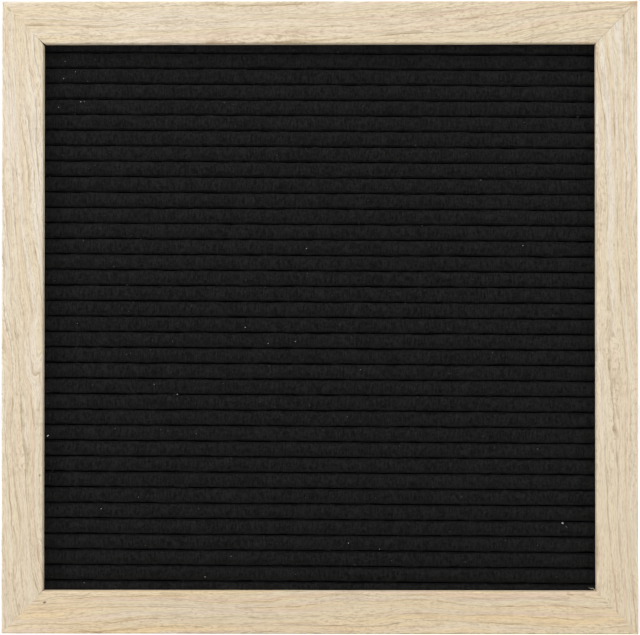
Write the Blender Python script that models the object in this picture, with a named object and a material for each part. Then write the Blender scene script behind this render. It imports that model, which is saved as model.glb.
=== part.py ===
"""A square wooden letter board, put together as the real one is.

Four oak rails are cut from one rabbeted moulding, mitred, and held at each corner by two
folded steel V-nails. A black felt sheet, folded into rows of narrow slots that grip the tabs
of letters, lies in the rabbet with a backing board behind it. Thin steel points in the
rabbet wall keep both in, and a sawtooth hanger is nailed to the back of the top rail.

Metres, +Z up, the face towards -Y, and +X to the right of someone who looks at it. The
origin is on the surface that the board stands on, halfway across its width and its depth.
"""

import math

import bmesh
import bpy
import numpy as np

MM = 0.001

# The gap kept between pieces that touch on the real board.
SEAT_GAP = 0.3 * MM

# The frame's outer size, and the section of the moulding that it is cut from: the wood
# outside the rabbet, and the lip that covers the felt's edge.
FRAME_WIDTH = 254.0 * MM
FRAME_HEIGHT = 252.6 * MM
WALL_WIDTH = 10.3 * MM
LIP_WIDTH = 6.2 * MM
LIP_THICKNESS = 3.5 * MM
BACK_RECESS = 4.9 * MM
FRONT_EDGE_RADIUS = 0.6 * MM
BACK_EDGE_RADIUS = 0.4 * MM
EDGE_STEPS = 3

# The felt: one sheet whose folds make the slots. Its slots run slightly downhill to the
# right, as it was laid into the frame.
PANEL_PLAY = 0.5 * MM
FELT_THICKNESS = 0.9 * MM
FELT_DEPTH = 4.0 * MM
SLOT_PITCH = 6.25 * MM
SLOT_WIDTH = 0.5 * MM
SLOT_TILT = math.radians(0.378)
RIB_CROWN = 0.3 * MM
SHOULDER_INNER_RADIUS = 0.1 * MM
FOLD_STEPS = 2
SHOULDER_STEPS = 3
CROWN_STEPS = 4

# The board that the felt is bonded to.
BOARD_THICKNESS = 3.0 * MM
BOARD_EDGE = 0.3 * MM

# V-nails: strips folded to a right angle, driven in across each mitre.
V_NAILS_PER_CORNER = 2
V_NAIL_LEG = 4.0 * MM
V_NAIL_HEIGHT = 7.0 * MM
V_NAIL_THICKNESS = 0.5 * MM
V_NAIL_SINK = 0.2 * MM

# Flexible points: flat darts in the rabbet wall, whose free ends lie over the board.
POINT_SPACING = 120.0 * MM
POINT_WIDTH = 6.0 * MM
POINT_THICKNESS = 0.5 * MM
POINT_EMBED = 4.5 * MM
POINT_TIP_LENGTH = 2.5 * MM
POINT_TIP_WIDTH = 0.6 * MM
POINT_REACH = 7.0 * MM
POINT_TAB_LENGTH = 2.0 * MM
POINT_TAB_LIFT = 0.8 * MM

# The sawtooth hanger: flat round-cornered ears nailed to the wood, and a raised bridge with
# teeth.
HANGER_LENGTH = 42.0 * MM
HANGER_HEIGHT = 7.0 * MM
HANGER_THICKNESS = 0.8 * MM
HANGER_RISE = 1.5 * MM
EAR_LENGTH = 7.0 * MM
EAR_CORNER_RADIUS = 1.8 * MM
EAR_CORNER_STEPS = 3
RAMP_LENGTH = 2.0 * MM
TOOTH_PITCH = 2.4 * MM
TOOTH_DEPTH = 1.2 * MM

# The hanger's nails.
NAIL_HEAD_DIAMETER = 2.8 * MM
NAIL_HEAD_THICKNESS = 0.7 * MM
NAIL_SHANK_DIAMETER = 1.2 * MM
NAIL_LENGTH = 9.0 * MM
NAIL_POINT_LENGTH = 1.6 * MM
NAIL_SIDES = 16

# How far a cutter reaches past the face that it opens.
CUTTER_OVERSHOOT = 1.0 * MM

# The moulding's section, and the depths behind the frame's front face.
RAIL_WIDTH = WALL_WIDTH + LIP_WIDTH
FELT_FRONT = LIP_THICKNESS + SEAT_GAP
BOARD_FRONT = FELT_FRONT + FELT_DEPTH + SEAT_GAP
BOARD_BACK = BOARD_FRONT + BOARD_THICKNESS
FRAME_DEPTH = BOARD_BACK + BACK_RECESS
HANGER_BACK = FRAME_DEPTH + SEAT_GAP + HANGER_RISE + HANGER_THICKNESS
PANEL_WIDTH = FRAME_WIDTH - 2 * (WALL_WIDTH + PANEL_PLAY)
PANEL_HEIGHT = FRAME_HEIGHT - 2 * (WALL_WIDTH + PANEL_PLAY)

# The frame's front face lies where the whole depth is centred on the origin.
FACE_Y = -HANGER_BACK / 2


class Finish:
    """A material's plain values: linear colour, roughness and metallic."""

    def __init__(self, name, colour, roughness, metallic=0.0):
        self.name = name
        self.colour = colour
        self.roughness = roughness
        self.metallic = metallic


OAK = Finish("oak", (0.72, 0.61, 0.45), 0.55)
FELT = Finish("black felt", (0.012, 0.012, 0.012), 1.0)
FIBREBOARD = Finish("fibreboard", (0.33, 0.21, 0.12), 0.8)
ZINC_STEEL = Finish("zinc-plated steel", (0.60, 0.61, 0.62), 0.35, 1.0)
BRASS_STEEL = Finish("brass-plated steel", (0.72, 0.53, 0.24), 0.3, 1.0)


def clear_scene():
    """Remove the objects that the scene starts with."""
    for obj in list(bpy.data.objects):
        bpy.data.objects.remove(obj, do_unlink=True)


def give_finish(mesh, finish):
    """Give this mesh a material of its own with the finish's values."""
    material = bpy.data.materials.new(f"{mesh.name} {finish.name}")
    material.use_nodes = True
    shader = material.node_tree.nodes["Principled BSDF"]
    shader.inputs["Base Color"].default_value = (*finish.colour, 1.0)
    shader.inputs["Roughness"].default_value = finish.roughness
    shader.inputs["Metallic"].default_value = finish.metallic
    material.diffuse_color = (*finish.colour, 1.0)
    mesh.materials.append(material)


def mesh_of(name, shape, finish=None):
    """Turn a bmesh into a mesh with its faces outward and, unless it is a cutter, a finish."""
    bmesh.ops.recalc_face_normals(shape, faces=shape.faces)
    mesh = bpy.data.meshes.new(name)
    shape.to_mesh(mesh)
    shape.free()
    if finish:
        give_finish(mesh, finish)
    return mesh


def place(name, mesh, parent=None, location=(0.0, 0.0, 0.0), turn=0.0):
    """Add an object under its parent, turned about the depth axis."""
    obj = bpy.data.objects.new(name, mesh)
    bpy.context.scene.collection.objects.link(obj)
    obj.parent = parent
    obj.location = location
    obj.rotation_euler = (0.0, turn, 0.0)
    return obj


def thicken(obj, thickness):
    """Give a folded surface its sheet thickness, half to each side."""
    solidify = obj.modifiers.new("sheet thickness", "SOLIDIFY")
    solidify.thickness = thickness
    solidify.offset = 0.0
    solidify.use_even_offset = True
    solidify.use_quality_normals = True


def as_cutter(obj):
    """Keep a cutter out of renders, and draw it as wire."""
    obj.hide_render = True
    obj.display_type = "WIRE"
    return obj


def cut(target, cutter):
    """Take the cutter's shape out of the target."""
    boolean = target.modifiers.new(f"cut {cutter.name}", "BOOLEAN")
    boolean.operation = "DIFFERENCE"
    boolean.solver = "EXACT"
    boolean.object = cutter


def smooth(mesh, limit=math.radians(50.0)):
    """Shade a round piece smooth, but keep its real edges sharp."""
    mesh.shade_smooth()
    mesh.set_sharp_from_angle(angle=limit)


def surface_between(first_line, second_line):
    """A bmesh of one strip of quads between two equal rows of points."""
    shape = bmesh.new()
    first = [shape.verts.new(point) for point in first_line]
    second = [shape.verts.new(point) for point in second_line]
    for here, after in zip(range(len(first) - 1), range(1, len(first))):
        shape.faces.new((first[here], first[after], second[after], second[here]))
    return shape


def box_shape(low, high):
    """A bmesh of the box between two corners."""
    shape = bmesh.new()
    bmesh.ops.create_cube(shape, size=1.0)
    low = np.array(low)
    high = np.array(high)
    bmesh.ops.scale(shape, vec=high - low, verts=shape.verts)
    bmesh.ops.translate(shape, vec=(low + high) / 2, verts=shape.verts)
    return shape


# The rails


def round_corner(before, corner, after, radius, steps):
    """Points of the quarter circle that eases a right-angled corner."""
    back = (before - corner) / np.linalg.norm(before - corner)
    on = (after - corner) / np.linalg.norm(after - corner)
    centre = corner + radius * (back + on)
    angles = np.linspace(0.0, math.pi / 2, steps + 1)
    return [centre - radius * (on * math.cos(a) + back * math.sin(a)) for a in angles]


def moulding_section():
    """Outline of the moulding as points (inward from the outer edge, behind the front face)."""
    corners = np.array(
        [
            (0.0, 0.0),
            (RAIL_WIDTH, 0.0),
            (RAIL_WIDTH, LIP_THICKNESS),
            (WALL_WIDTH, LIP_THICKNESS),
            (WALL_WIDTH, FRAME_DEPTH),
            (0.0, FRAME_DEPTH),
        ]
    )
    radii = [FRONT_EDGE_RADIUS, FRONT_EDGE_RADIUS, 0.0, 0.0, BACK_EDGE_RADIUS, BACK_EDGE_RADIUS]
    outline = []
    for index, (corner, radius) in enumerate(zip(corners, radii)):
        if not radius:
            outline.append(corner)
            continue
        before = corners[index - 1]
        after = corners[(index + 1) % len(corners)]
        outline.extend(round_corner(before, corner, after, radius, EDGE_STEPS))
    return outline


def rail_shape(length):
    """A bmesh of one rail: the section, extruded from one mitre to the other.

    Local X runs along the rail from its middle, Y into the depth and Z inward from the
    outer edge. Each end stands back from the true mitre, so that two ends leave the gap.
    """
    shape = bmesh.new()
    mitre_setback = SEAT_GAP / math.sqrt(2.0)
    first_end = []
    for inward, depth in moulding_section():
        along = -(length / 2 - inward - mitre_setback)
        first_end.append(shape.verts.new((along, depth, inward)))
    end_face = shape.faces.new(first_end)
    extruded = bmesh.ops.extrude_face_region(shape, geom=[end_face])
    for element in extruded["geom"]:
        if isinstance(element, bmesh.types.BMVert):
            element.co.x = -element.co.x
    return shape


# The felt sheet


def slot_section():
    """The middle of the felt's thickness round one slot, as points (height, depth).

    From the slot's fold the sheet rises along both sides and turns outward over the
    shoulders, where it meets the ribs.
    """
    fold_radius = (SLOT_WIDTH + FELT_THICKNESS) / 2
    shoulder_radius = SHOULDER_INNER_RADIUS + FELT_THICKNESS / 2
    fold_depth = FELT_DEPTH - FELT_THICKNESS / 2 - fold_radius
    shoulder_depth = RIB_CROWN + FELT_THICKNESS / 2 + shoulder_radius
    half = []
    for angle in np.linspace(0.0, math.pi / 2, FOLD_STEPS + 1):
        height = fold_radius * math.sin(angle)
        half.append((height, fold_depth + fold_radius * math.cos(angle)))
    for angle in np.linspace(0.0, math.pi / 2, SHOULDER_STEPS + 1):
        height = fold_radius + shoulder_radius * (1.0 - math.cos(angle))
        half.append((height, shoulder_depth - shoulder_radius * math.sin(angle)))
    half = np.array(half)
    mirrored = half[:0:-1] * (-1.0, 1.0)
    return np.concatenate([mirrored, half])


def rib_section(start, end):
    """Points of a rib's crown between two shoulders: an arch with level ends."""
    shares = np.linspace(0.0, 1.0, CROWN_STEPS + 1)[1:-1]
    heights = start + shares * (end - start)
    depths = FELT_THICKNESS / 2 + RIB_CROWN * np.cos(math.pi * shares) ** 2
    return np.stack([heights, depths], axis=1)


def slots_each_side():
    """How many slots fit above the middle one, with its tilt and a flat margin."""
    half_slot = slot_section()[-1][0]
    drop = math.tan(SLOT_TILT) * PANEL_WIDTH / 2
    return int((PANEL_HEIGHT / 2 - drop - half_slot) / SLOT_PITCH)


def felt_line(across):
    """The folded sheet's line at one place across its width, as world points."""
    slot = slot_section()
    shift = -math.tan(SLOT_TILT) * across
    slots = [slot + (index * SLOT_PITCH + shift, 0.0) for index in slot_indices()]
    flange_depth = slot[0][1]
    pieces = [[(-PANEL_HEIGHT / 2, flange_depth)], slots[0]]
    for lower, upper in zip(slots, slots[1:]):
        pieces.append(rib_section(lower[-1][0], upper[0][0]))
        pieces.append(upper)
    pieces.append([(PANEL_HEIGHT / 2, flange_depth)])
    section = np.concatenate(pieces)
    line = np.empty((len(section), 3))
    line[:, 0] = across
    line[:, 1] = section[:, 1]
    line[:, 2] = section[:, 0]
    return line


def slot_indices():
    """Slot numbers from the lowest to the highest, with 0 at the middle of the board."""
    return range(-slots_each_side(), slots_each_side() + 1)


# Steel pieces


def v_nail_shape(leg, low, high):
    """A bmesh of a right-angled strip, open towards the inner corner, from low to high depth."""
    plan = [(leg, 0.0), (0.0, 0.0), (0.0, leg)]
    front = [(x, low, z) for x, z in plan]
    back = [(x, high, z) for x, z in plan]
    return surface_between(front, back)


def point_shape():
    """A bmesh of one flexible point: dart tip in the wood, free end turned up for a finger.

    Local Z runs inward from the rabbet wall, Y towards the wall that the board hangs on.
    """
    rows = [
        (-POINT_EMBED, POINT_TIP_WIDTH, 0.0),
        (-POINT_EMBED + POINT_TIP_LENGTH, POINT_WIDTH, 0.0),
        (0.0, POINT_WIDTH, 0.0),
        (POINT_REACH - POINT_TAB_LENGTH, POINT_WIDTH, 0.0),
        (POINT_REACH, POINT_WIDTH, POINT_TAB_LIFT),
    ]
    left = [(-width / 2, lift, inward) for inward, width, lift in rows]
    right = [(width / 2, lift, inward) for inward, width, lift in rows]
    return surface_between(left, right)


def hanger_shape():
    """A bmesh of the hanger's surface: two ears, ramps, and a bridge with teeth below.

    Each column is its place along the plate, its rise, and how far its lower and upper ends
    stand back from the plate's edges: round the ears' corners and up into the teeth.
    """
    half = HANGER_LENGTH / 2
    ramp_foot = half - EAR_LENGTH
    ramp_top = ramp_foot - RAMP_LENGTH
    teeth = int(2 * ramp_top / TOOTH_PITCH)
    first_root = -teeth * TOOTH_PITCH / 2
    angles = np.linspace(0.0, math.pi / 2, EAR_CORNER_STEPS + 1)
    from_end = EAR_CORNER_RADIUS * (1.0 - np.cos(angles))
    from_edge = EAR_CORNER_RADIUS * (1.0 - np.sin(angles))
    ear = [(half - end, 0.0, edge, edge) for end, edge in zip(from_end, from_edge)]
    columns = [(-x, rise, below, above) for x, rise, below, above in ear]
    columns += [(-ramp_foot, 0.0, 0.0, 0.0), (-ramp_top, HANGER_RISE, 0.0, 0.0)]
    for tooth in range(teeth):
        root = first_root + tooth * TOOTH_PITCH
        columns.append((root + TOOTH_PITCH / 4, HANGER_RISE, 0.0, 0.0))
        columns.append((root + 3 * TOOTH_PITCH / 4, HANGER_RISE, TOOTH_DEPTH, 0.0))
    columns += [(ramp_top, HANGER_RISE, 0.0, 0.0), (ramp_foot, 0.0, 0.0, 0.0)]
    columns += reversed(ear)
    lower = [(x, rise, -HANGER_HEIGHT / 2 + below) for x, rise, below, _ in columns]
    upper = [(x, rise, HANGER_HEIGHT / 2 - above) for x, rise, _, above in columns]
    return surface_between(lower, upper)


def turned_shape(profile, sides):
    """A bmesh of a profile, points (radius, depth), spun about the depth axis."""
    shape = bmesh.new()
    points = [shape.verts.new((radius, depth, 0.0)) for radius, depth in profile]
    edges = [shape.edges.new(pair) for pair in zip(points, points[1:])]
    bmesh.ops.spin(
        shape,
        geom=points + edges,
        cent=(0.0, 0.0, 0.0),
        axis=(0.0, 1.0, 0.0),
        angle=2 * math.pi,
        steps=sides,
        use_merge=True,
    )
    bmesh.ops.remove_doubles(shape, verts=shape.verts, dist=0.01 * MM)
    return shape


def nail_shape():
    """A bmesh of a small round-headed nail, its head's underside at zero depth."""
    head = NAIL_HEAD_DIAMETER / 2
    shank = NAIL_SHANK_DIAMETER / 2
    profile = [
        (0.0, NAIL_HEAD_THICKNESS),
        (0.6 * head, NAIL_HEAD_THICKNESS),
        (head, NAIL_HEAD_THICKNESS / 2),
        (head, 0.0),
        (shank, 0.0),
        (shank, NAIL_POINT_LENGTH - NAIL_LENGTH),
        (0.0, -NAIL_LENGTH),
    ]
    return turned_shape(profile, NAIL_SIDES)


def bore_shape(radius, low, high):
    """A bmesh of a round cutter between two depths."""
    profile = [(0.0, high), (radius, high), (radius, low), (0.0, low)]
    return turned_shape(profile, NAIL_SIDES)


# Putting the board together


def build_rails(board):
    """The four rails. Going round from the bottom one, each is turned a further quarter."""
    half = FRAME_WIDTH / 2
    plan = [
        ("rail_bottom", FRAME_WIDTH, (0.0, 0.0)),
        ("rail_right", FRAME_HEIGHT, (half, FRAME_HEIGHT / 2)),
        ("rail_top", FRAME_WIDTH, (0.0, FRAME_HEIGHT)),
        ("rail_left", FRAME_HEIGHT, (-half, FRAME_HEIGHT / 2)),
    ]
    rails = []
    for index, (name, length, (x, z)) in enumerate(plan):
        mesh = mesh_of(name, rail_shape(length), OAK)
        rail = place(name, mesh, board, (x, 0.0, z), -index * math.pi / 2)
        rails.append(rail)
    return rails


def build_v_nails(board, rails):
    """Two V-nails across each mitre, in slits that run into both of its rails."""
    low = FRAME_DEPTH - V_NAIL_SINK - V_NAIL_HEIGHT
    high = FRAME_DEPTH - V_NAIL_SINK
    nail_mesh = mesh_of("v_nail", v_nail_shape(V_NAIL_LEG, low, high), ZINC_STEEL)
    slit_shape = v_nail_shape(V_NAIL_LEG + SEAT_GAP, low - SEAT_GAP, FRAME_DEPTH + CUTTER_OVERSHOOT)
    slit_mesh = mesh_of("v_nail_slit", slit_shape)
    half = FRAME_WIDTH / 2
    corners = [
        ("bottom_left", (-half, 0.0), (1, 1)),
        ("bottom_right", (half, 0.0), (-1, 1)),
        ("top_right", (half, FRAME_HEIGHT), (-1, -1)),
        ("top_left", (-half, FRAME_HEIGHT), (1, -1)),
    ]
    for index, (corner, (x, z), (inward_x, inward_z)) in enumerate(corners):
        turn = -index * math.pi / 2
        for number in range(1, V_NAILS_PER_CORNER + 1):
            inset = number * WALL_WIDTH / (V_NAILS_PER_CORNER + 1)
            apex = (x + inward_x * inset, 0.0, z + inward_z * inset)
            nail = place(f"v_nail_{corner}_{number}", nail_mesh, board, apex, turn)
            thicken(nail, V_NAIL_THICKNESS)
            slit = as_cutter(place(f"slit_{corner}_{number}", slit_mesh, board, apex, turn))
            thicken(slit, V_NAIL_THICKNESS + 2 * SEAT_GAP)
            cut(rails[index], slit)
            cut(rails[index - 1], slit)


def build_points(rails):
    """Two flexible points in each rail's rabbet wall, close behind the backing board."""
    depth = BOARD_BACK + SEAT_GAP + POINT_THICKNESS / 2
    point_mesh = mesh_of("point", point_shape(), ZINC_STEEL)
    reach = (
        POINT_WIDTH / 2 + SEAT_GAP,
        POINT_THICKNESS / 2 + SEAT_GAP,
        POINT_EMBED + SEAT_GAP,
    )
    slit_mesh = mesh_of(
        "point_slit",
        box_shape((-reach[0], -reach[1], -reach[2]), (reach[0], reach[1], CUTTER_OVERSHOOT)),
    )
    for rail in rails:
        side = rail.name.removeprefix("rail_")
        for number, along in enumerate((-POINT_SPACING / 2, POINT_SPACING / 2), start=1):
            seat = (along, depth, WALL_WIDTH)
            point = place(f"point_{side}_{number}", point_mesh, rail, seat)
            thicken(point, POINT_THICKNESS)
            slit = as_cutter(place(f"slit_{side}_{number}", slit_mesh, rail, seat))
            cut(rail, slit)


def build_panel(board):
    """The felt sheet in the rabbet, and the board that its folds are bonded to."""
    middle = FRAME_HEIGHT / 2
    felt_surface = surface_between(felt_line(-PANEL_WIDTH / 2), felt_line(PANEL_WIDTH / 2))
    felt_mesh = mesh_of("felt_sheet", felt_surface, FELT)
    felt = place("felt_sheet", felt_mesh, board, (0.0, FELT_FRONT, middle))
    thicken(felt, FELT_THICKNESS)
    low = (-PANEL_WIDTH / 2, 0.0, -PANEL_HEIGHT / 2)
    high = (PANEL_WIDTH / 2, BOARD_THICKNESS, PANEL_HEIGHT / 2)
    board_mesh = mesh_of("backing_board", box_shape(low, high), FIBREBOARD)
    backing = place("backing_board", board_mesh, board, (0.0, BOARD_FRONT, middle))
    bevel = backing.modifiers.new("sawn edge", "BEVEL")
    bevel.width = BOARD_EDGE
    bevel.segments = 1


def build_hanger(board, rail_top):
    """The sawtooth hanger on the back of the top rail, and its two nails in their holes."""
    seat_y = FRAME_DEPTH + SEAT_GAP
    seat_z = FRAME_HEIGHT - WALL_WIDTH / 2
    plate_mesh = mesh_of("hanger_plate", hanger_shape(), BRASS_STEEL)
    plate_y = seat_y + HANGER_THICKNESS / 2
    plate = place("hanger_plate", plate_mesh, board, (0.0, plate_y, seat_z))
    thicken(plate, HANGER_THICKNESS)
    nail_mesh = mesh_of("hanger_nail", nail_shape(), BRASS_STEEL)
    smooth(nail_mesh)
    head_y = seat_y + HANGER_THICKNESS + SEAT_GAP
    bore = bore_shape(
        NAIL_SHANK_DIAMETER / 2 + SEAT_GAP,
        -NAIL_LENGTH - SEAT_GAP,
        CUTTER_OVERSHOOT,
    )
    bore_mesh = mesh_of("nail_bore", bore)
    nail_x = (HANGER_LENGTH - EAR_LENGTH) / 2
    for side, x in (("left", -nail_x), ("right", nail_x)):
        seat = (x, head_y, seat_z)
        place(f"hanger_nail_{side}", nail_mesh, board, seat)
        bore_cutter = as_cutter(place(f"bore_{side}", bore_mesh, board, seat))
        cut(plate, bore_cutter)
        cut(rail_top, bore_cutter)


clear_scene()
letter_board = place("letter_board", None, location=(0.0, FACE_Y, 0.0))
rails_built = build_rails(letter_board)
build_v_nails(letter_board, rails_built)
build_points(rails_built)
build_panel(letter_board)
build_hanger(letter_board, rails_built[2])
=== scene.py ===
"""The looks of a square wooden letter board, in the order in which the real one is made.

Four oak rails are mitred and joined, black felt is folded into slots over a backing board,
and the back gets its steel points and a hanger. Floor, light and camera come last. Metres,
+Z up, and the face looks towards -Y.
"""

import math

import bmesh
import bpy
import numpy as np
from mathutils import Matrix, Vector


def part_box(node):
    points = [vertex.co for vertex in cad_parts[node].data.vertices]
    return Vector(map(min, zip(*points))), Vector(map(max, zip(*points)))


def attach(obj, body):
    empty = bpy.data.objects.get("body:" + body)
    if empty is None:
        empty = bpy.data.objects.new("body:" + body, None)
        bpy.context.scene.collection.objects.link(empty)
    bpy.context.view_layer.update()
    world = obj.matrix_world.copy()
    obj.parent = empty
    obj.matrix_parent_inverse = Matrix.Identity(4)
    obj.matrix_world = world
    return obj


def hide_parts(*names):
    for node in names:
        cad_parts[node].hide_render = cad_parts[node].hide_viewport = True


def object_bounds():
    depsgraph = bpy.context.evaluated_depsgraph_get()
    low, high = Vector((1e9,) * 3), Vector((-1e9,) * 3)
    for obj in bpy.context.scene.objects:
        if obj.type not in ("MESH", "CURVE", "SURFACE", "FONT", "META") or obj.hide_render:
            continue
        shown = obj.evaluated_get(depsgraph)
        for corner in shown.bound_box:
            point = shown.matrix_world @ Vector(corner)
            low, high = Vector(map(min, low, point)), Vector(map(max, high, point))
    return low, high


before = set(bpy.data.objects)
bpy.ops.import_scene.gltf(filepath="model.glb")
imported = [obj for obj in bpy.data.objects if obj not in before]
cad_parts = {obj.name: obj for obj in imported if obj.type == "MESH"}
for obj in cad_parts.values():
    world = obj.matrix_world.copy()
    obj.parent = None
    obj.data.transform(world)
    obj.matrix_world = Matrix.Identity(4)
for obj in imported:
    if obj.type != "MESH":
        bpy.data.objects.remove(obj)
cad_low, cad_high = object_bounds()


# The rails: pale oak planed to one rabbeted moulding, its arrises rubbed soft by hand, cut
# corner to corner and glued. The grain runs along each rail, its open pores are darker, and
# at the upper left, and a little at the lower left, the mitre stands open at its inner end.

MM = 0.001
LIP_WIDTH = 6.2 * MM
FELT_GAP = 0.3 * MM
FRONT_EDGE_RADIUS = 0.6 * MM
BACK_EDGE_RADIUS = 0.4 * MM
ARC_POINTS = 6
SECTION_STEP = 0.5 * MM
RUN_STEP = 1.5 * MM
MITRE_ROWS = np.array([0.0, 0.12, 0.3, 0.7]) * MM
MITRE_SETBACK = 0.01 * MM
MITRE_DIP = 0.03 * MM
OPEN_MITRE_FADE = 2.0 * MM
OPEN_MITRE_POWER = 5
# The top and bottom rails are this much wider than the side rails.
LEVEL_RAILS_WIDER = 1.021
HAND_WAVER = 0.03 * MM
WAVER_LENGTH = 19.0 * MM
SMOOTH_BELOW = math.radians(40.0)

rail_low, rail_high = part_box("rail_bottom")
FACE_Y = rail_low.y
BACK_Y = rail_high.y
RAIL_WIDTH = rail_high.z
WALL_WIDTH = RAIL_WIDTH - LIP_WIDTH
LIP_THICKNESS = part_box("felt_sheet")[0].y - FELT_GAP - FACE_Y
FRAME_WIDTH = cad_high.x - cad_low.x
FRAME_HEIGHT = cad_high.z - cad_low.z
MIDDLE_Z = FRAME_HEIGHT / 2


def smooth_curves(rng, count, places, knot_spacing):
    """Random smooth curves, one to a row, with values of about -1 to 1.

    Random heights stand at evenly spaced knots, and each place takes the two nearest ones
    in shares that follow a raised cosine.
    """
    position = (places - places.min()) / knot_spacing
    knots = np.arange(int(position.max()) + 2)
    heights = rng.uniform(-1.0, 1.0, (count, len(knots)))
    distance = np.abs(position[None, :] - knots[:, None])
    return heights @ np.where(distance < 1.0, 0.5 + 0.5 * np.cos(math.pi * distance), 0.0)


def section_points(corners, radii):
    """Points round a section of right-angled corners, as (inward, depth).

    A corner with a radius is a quarter circle between its tangent points, and the straight
    stretches between have a point about every step.
    """
    pieces = []
    for index, (corner, radius) in enumerate(zip(corners, radii)):
        to_last = corners[index - 1] - corner
        to_next = corners[(index + 1) % len(corners)] - corner
        to_last = to_last / np.linalg.norm(to_last)
        straight = np.linalg.norm(to_next) - radius - radii[(index + 1) % len(corners)]
        to_next = to_next / np.linalg.norm(to_next)
        angles = np.linspace(0.0, math.pi / 2, ARC_POINTS if radius else 1)[:, None]
        arc = to_last * (1 - np.sin(angles)) + to_next * (1 - np.cos(angles))
        pieces.append(corner + radius * arc)
        shares = np.linspace(0.0, 1.0, max(2, int(straight / SECTION_STEP)))[1:-1, None]
        pieces.append(corner + to_next * (radius + straight * shares))
    return np.concatenate(pieces)


def normals_of(section):
    """Outward normals of a closed section that runs clockwise in (inward, depth)."""
    along = np.roll(section, -1, axis=0) - np.roll(section, 1, axis=0)
    along = along / np.linalg.norm(along, axis=1, keepdims=True)
    return np.stack([along[:, 1], -along[:, 0]], axis=1)


def add_piece(name, mesh):
    """Put a mesh in the scene, faces outward and soft edges shaded smooth, on the one body."""
    shape = bmesh.new()
    shape.from_mesh(mesh)
    bmesh.ops.recalc_face_normals(shape, faces=shape.faces)
    shape.to_mesh(mesh)
    shape.free()
    mesh.shade_smooth()
    mesh.set_sharp_from_angle(angle=SMOOTH_BELOW)
    piece = bpy.data.objects.new(name, mesh)
    bpy.context.scene.collection.objects.link(piece)
    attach(piece, "root")
    return piece


def tube_mesh(name, rings):
    """A mesh of closed tubes from their rings of points, (tubes, rings, points, 3).

    Quads join each ring to the next, and a flat face closes each end.
    """
    tubes, count, size = rings.shape[:3]
    tube, ring, place = np.meshgrid(
        np.arange(tubes), np.arange(count - 1), np.arange(size), indexing="ij"
    )
    first = (tube * count + ring) * size
    beside = first + (place + 1) % size
    quads = np.stack([first + place, beside, beside + size, first + place + size], axis=-1)
    starts = (np.arange(tubes) * count * size)[:, None] + np.arange(size)
    faces = quads.reshape(-1, 4).tolist() + starts[:, ::-1].tolist()
    faces += (starts + (count - 1) * size).tolist()
    mesh = bpy.data.meshes.new(name)
    mesh.from_pydata(rings.reshape(-1, 3).tolist(), [], faces)
    return mesh


def rail_rings(length, mitre_slope, gap_at_start, gap_at_end, rng):
    """A rail's rings as (along, inward, depth) for every place t along and s round it.

    Each ring is the moulding's section, sheared to the mitre: along = t (half length -
    mitre slope * inward - setback), with t from -1 to 1. An open mitre pulls its end
    back, by a share that grows steeply with the way across the lip and dies away along
    the rail. The surface then moves along its normal: down by a hair at the mitres, and
    up and down in a slow waver, two smooth curves of t times cos s and sin 2s, less
    towards the back.
    """
    depth_of_frame = BACK_Y - FACE_Y
    corners = np.array(
        [
            (0.0, 0.0),
            (RAIL_WIDTH, 0.0),
            (RAIL_WIDTH, LIP_THICKNESS),
            (WALL_WIDTH, LIP_THICKNESS),
            (WALL_WIDTH, depth_of_frame),
            (0.0, depth_of_frame),
        ]
    )
    radii = [FRONT_EDGE_RADIUS, FRONT_EDGE_RADIUS, 0.0, 0.0, BACK_EDGE_RADIUS, BACK_EDGE_RADIUS]
    section = section_points(corners, radii)
    inward, depth = section.T
    half = length / 2
    from_end = np.concatenate([MITRE_ROWS, np.arange(MITRE_ROWS[-1] + RUN_STEP, half, RUN_STEP)])
    shares = 1.0 - from_end / half
    t = np.concatenate([-shares, shares[::-1]])
    crossing = np.clip((inward - WALL_WIDTH) / LIP_WIDTH, 0.0, 1.0) ** OPEN_MITRE_POWER
    to_end = (1.0 - np.abs(t)) * half
    opening = np.where(t < 0, gap_at_start, gap_at_end) * np.exp(-to_end / OPEN_MITRE_FADE)
    along = t[:, None] * (half - inward * mitre_slope - MITRE_SETBACK)
    along = along - np.outer(np.sign(t) * opening, crossing)
    dip = MITRE_DIP * np.clip(1.0 - to_end / MITRE_ROWS[2], 0.0, 1.0)
    round_it = np.linspace(0.0, 2 * math.pi, len(section), endpoint=False)
    waver = HAND_WAVER * smooth_curves(rng, 2, t, WAVER_LENGTH / half)
    rise = np.outer(waver[0], np.cos(round_it)) + np.outer(waver[1], np.sin(2 * round_it))
    rise = rise * (1.0 - depth / depth_of_frame) - dip[:, None]
    normals = normals_of(section)
    return np.stack([along, inward + rise * normals[:, 0], depth + rise * normals[:, 1]], axis=-1)


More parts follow.
